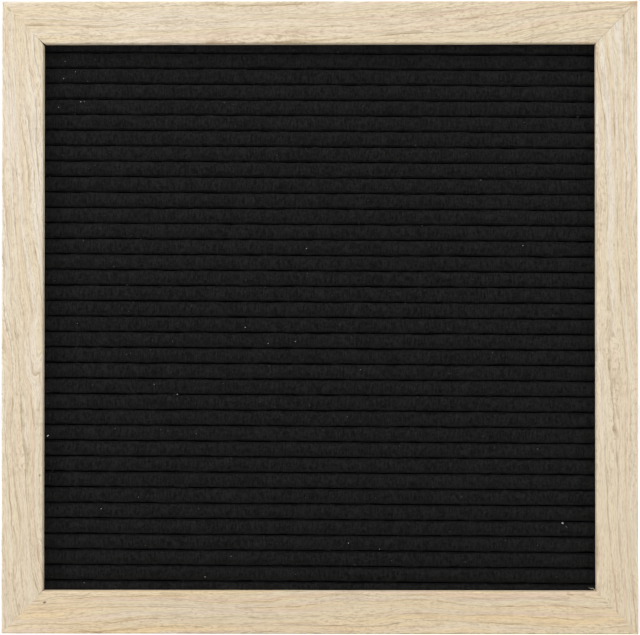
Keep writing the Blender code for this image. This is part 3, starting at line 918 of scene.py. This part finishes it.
def shaving_rings():
    """A thin ribbon wound round the line from its start to its end, as oblong rings.

    Place s, from 0 to 1, is start + s (end - start) + curl (0.6 + 0.4 s) (u cos a + v sin
    a), with a turning evenly with s, u and v square to the line, and the ribbon's width
    along it.
    """
    s = np.linspace(0.0, 1.0, SHAVING_STEPS)[:, None]
    line = SHAVING_END - SHAVING_START
    ahead = line / np.linalg.norm(line)
    first = np.cross(ahead, (0.0, 0.0, 1.0))
    first = first / np.linalg.norm(first)
    second = np.cross(ahead, first)
    angle = 2 * math.pi * SHAVING_TURNS * s
    out = first * np.cos(angle) + second * np.sin(angle)
    middle = SHAVING_START + s * line + SHAVING_CURL * (0.6 + 0.4 * s) * out
    rings = [
        middle + ahead * side * SHAVING_WIDTH / 2 + out * face * SHAVING_THICKNESS / 2
        for side, face in ((-1, -1), (1, -1), (1, 1), (-1, 1))
    ]
    return np.stack(rings, axis=1)[None]


shaving = add_piece("oak_shaving", tube_mesh("oak shaving", shaving_rings()))
shaving.data.materials.append(plain_fibre("shaved oak", (0.74, 0.66, 0.50), roughness=0.6))


# The hanger: brass-plated steel, stamped with teeth along the lower edge of a raised bridge
# that hooks over a nail in the wall. A round-headed nail fixes each ear to the top rail.

HANGER_EAR = 7.0 * MM
HANGER_RAMP = 2.0 * MM
HANGER_THICKNESS = 0.8 * MM
EAR_CORNER = 1.8 * MM
STAMPED_EDGE = 0.15 * MM
TOOTH_PITCH = 2.4 * MM
TOOTH_DEPTH = 1.2 * MM
STEPS_PER_TOOTH = 16
HEAD_SIDES = 28
HEAD_RINGS = 8
HEAD_CROWN_ANGLE = 0.48 * math.pi
HEAD_SEAT_SHARE = 0.8
HEAD_RIM_SHARE = 0.3
HEAD_ROUNDNESS = 0.7

plate_low, plate_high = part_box("hanger_plate")
HANGER_LENGTH = plate_high.x - plate_low.x
HANGER_RISE = plate_high.y - plate_low.y - HANGER_THICKNESS


def hanger_rings():
    """The plate as a rounded oblong section carried along x.

    Its lower edge is a triangle wave on the bridge, its depth a smooth step up each ramp,
    and its ends narrow round a quarter circle.
    """
    half = HANGER_LENGTH / 2
    step = TOOTH_PITCH / STEPS_PER_TOOTH
    x = np.arange(-half, half + step / 2, step)
    x = np.append(x[x < half - step / 2], half)
    from_end = half - np.abs(x)
    climb = np.clip((from_end - HANGER_EAR) / HANGER_RAMP, 0.0, 1.0)
    rise = HANGER_RISE * climb**2 * (3.0 - 2.0 * climb)
    bridge = half - HANGER_EAR - HANGER_RAMP
    teeth = int(2 * bridge / TOOTH_PITCH)
    phase = (x + teeth * TOOTH_PITCH / 2) / TOOTH_PITCH - 0.25
    wave = 1.0 - np.abs(2.0 * (phase % 1.0) - 1.0)
    toothed = np.abs(x) < teeth * TOOTH_PITCH / 2 - TOOTH_PITCH / 4
    notch = np.where(toothed, TOOTH_DEPTH * wave, 0.0)
    into = np.clip(1.0 - from_end / EAR_CORNER, 0.0, 1.0)
    narrow = EAR_CORNER * (1.0 - np.sqrt(1.0 - into**2))
    bottom = plate_low.z + notch + narrow
    top = plate_high.z - narrow
    near = plate_low.y + rise
    far = near + HANGER_THICKNESS
    edge = STAMPED_EDGE
    heights = [bottom + edge, bottom, bottom, bottom + edge, top - edge, top, top, top - edge]
    depths = [near, near + edge, far - edge, far, far, far - edge, near + edge, near]
    rings = np.empty((len(x), len(heights), 3))
    rings[..., 0] = x[:, None]
    rings[..., 1] = np.stack(depths, axis=-1)
    rings[..., 2] = np.stack(heights, axis=-1)
    return rings


def nail_head_rings(low, high):
    """A domed head as circles of points.

    From the seat they widen to the rim, whose height is a share of the head's thickness.
    At angle a above the rim the radius is the rim's times a power of cos a, and the height
    grows with sin a, up to a small flat crown.
    """
    radius = (high.x - low.x) / 2
    thickness = high.y - plate_low.y - HANGER_THICKNESS
    angles = np.linspace(0.0, HEAD_CROWN_ANGLE, HEAD_RINGS)
    radii = radius * np.concatenate([[HEAD_SEAT_SHARE], np.cos(angles) ** HEAD_ROUNDNESS])
    seat = high.y - thickness
    climb = HEAD_RIM_SHARE + (1.0 - HEAD_RIM_SHARE) * np.sin(angles)
    depths = np.concatenate([[seat], seat + thickness * climb])
    round_it = np.linspace(0.0, 2 * math.pi, HEAD_SIDES, endpoint=False)
    middle_x = (low.x + high.x) / 2
    middle_z = (low.z + high.z) / 2
    rings = np.empty((len(radii), HEAD_SIDES, 3))
    rings[..., 0] = middle_x + radii[:, None] * np.cos(round_it)
    rings[..., 1] = depths[:, None]
    rings[..., 2] = middle_z + radii[:, None] * np.sin(round_it)
    return rings


def brass_plate():
    """Brass plating: yellow metal, a little dull and stained in patches, with rolling lines."""
    brass = new_recipe("brass plated steel")
    x, depth, z = brass.places()
    stain = brass.noise(x * 0.5, depth * 0.5, z * 0.5, detail=3.0)
    rolled = brass.noise(x * 0.4, depth * 7.0, z * 7.0, detail=2.0)
    colour = brass.mix(stain.between(0.35, 0.75), (0.78, 0.58, 0.27), (0.58, 0.41, 0.18))
    normal = brass.bump(rolled, 0.01 * MM, 0.6)
    roughness = 0.22 + stain * 0.25
    return brass.finish(Base_Color=colour, Roughness=roughness, Metallic=1.0, Normal=normal)


BRASS = brass_plate()
plate = add_piece("stamped_hanger", tube_mesh("stamped hanger", hanger_rings()[None]))
plate.data.materials.append(BRASS)
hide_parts("hanger_plate")
for side in ("left", "right"):
    node = f"hanger_nail_{side}"
    head = add_piece(f"domed_{node}", tube_mesh("nail head", nail_head_rings(*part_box(node))[None]))
    head.data.materials.append(BRASS)
    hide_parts(node)


# The floor: one pale sheet that the board stands on. It glows a little to the camera, so
# that it looks white and still shows the board's shadow.

FLOOR_REACH = 1.8
FLOOR_COLOUR = (0.80, 0.80, 0.80)
FLOOR_GLOW = (0.28, 0.28, 0.28)
floor_mesh = bpy.data.meshes.new("floor")
corners = [(-1, -1), (1, -1), (1, 1), (-1, 1)]
floor_points = [(x * FLOOR_REACH, y * FLOOR_REACH, 0.0) for x, y in corners]
floor_mesh.from_pydata(floor_points, [], [(0, 1, 2, 3)])
floor = bpy.data.objects.new("floor", floor_mesh)
bpy.context.scene.collection.objects.link(floor)
pale = new_recipe("pale floor")
seen = pale.node("ShaderNodeLightPath")
glow = pale.mix(seen, (0.0, 0.0, 0.0), FLOOR_GLOW)
floor_mesh.materials.append(
    pale.finish(
        Base_Color=FLOOR_COLOUR,
        Roughness=0.9,
        Emission_Color=glow,
        Emission_Strength=1.0,
    )
)


# Soft light from all sides, as in a light tent: a surround that is brightest round the
# board's edges, most of all above it, dark in front of it and dim behind it, and three large
# lamps, at the left, at the right and above. What the camera sees behind it is white.

RING_LIGHT = 0.95
TOP_SHARE = 0.25
RIGHT_SHARE = -0.08
RING_NARROWNESS = 3.0
REAR_LIGHT = 0.5

surround = Recipe(bpy.data.worlds.new("surround"), "Background")
direction = surround.node("ShaderNodeTexCoord", output="Generated")
right, away, up = surround.outputs("ShaderNodeSeparateXYZ", "XYZ", {0: direction})
lopsided = 1.0 + up * TOP_SHARE + right * RIGHT_SHARE
ring_light = (1.0 - away * away) ** RING_NARROWNESS * lopsided
light = ring_light * RING_LIGHT + away.at_least(0.0) * REAR_LIGHT
rays = ("Is Camera Ray", "Is Glossy Ray", "Is Transmission Ray")
by_camera, by_gloss, by_glass = surround.outputs("ShaderNodeLightPath", rays)
seen = by_camera.at_least(by_gloss).at_least(by_glass)
surround.finish(Color=(1.0, 1.0, 0.99), Strength=seen + (1.0 - seen) * light)
bpy.context.scene.world = surround.owner


LAMP_WIDTH = 0.6
BOARD_MIDDLE = (0.0, FACE_Y, MIDDLE_Z)


def soft_lamp(name, place, power):
    """A square lamp at a place, turned towards the board's middle."""
    lamp = bpy.data.lights.new(name, "AREA")
    lamp.size = LAMP_WIDTH
    lamp.energy = power
    holder = bpy.data.objects.new(name, lamp)
    bpy.context.scene.collection.objects.link(holder)
    holder.location = place
    toward = np.array(BOARD_MIDDLE) - np.array(place)
    flat = math.hypot(toward[0], toward[1])
    holder.rotation_euler = (math.atan2(flat, -toward[2]), 0.0, math.atan2(-toward[0], toward[1]))


soft_lamp("left", place=(-1.25, -0.65, 0.70), power=8.5)
soft_lamp("right", place=(1.15, -0.85, 0.50), power=4.3)
soft_lamp("top", place=(-0.20, -0.60, 1.50), power=7.3)


# The camera: straight in front, close to the height of the board's middle, as in the
# photograph.

CAMERA_DISTANCE = 0.600
CAMERA_X = 4.43 * MM
CAMERA_Z = 121.18 * MM
CAMERA_YAW = math.radians(0.398)
CAMERA_PITCH = math.radians(0.469)
LENS = 84.58
SENSOR_WIDTH = 36.0

lens = bpy.data.cameras.new("camera")
lens.lens = LENS
lens.sensor_width = SENSOR_WIDTH
lens.clip_start = 0.01
lens.clip_end = 100.0
camera = bpy.data.objects.new("camera", lens)
bpy.context.scene.collection.objects.link(camera)
camera.location = (CAMERA_X, FACE_Y - CAMERA_DISTANCE, CAMERA_Z)
camera.rotation_euler = (math.pi / 2 + CAMERA_PITCH, 0.0, CAMERA_YAW)
bpy.context.scene.camera = camera
bpy.context.scene.view_settings.view_transform = "Standard"
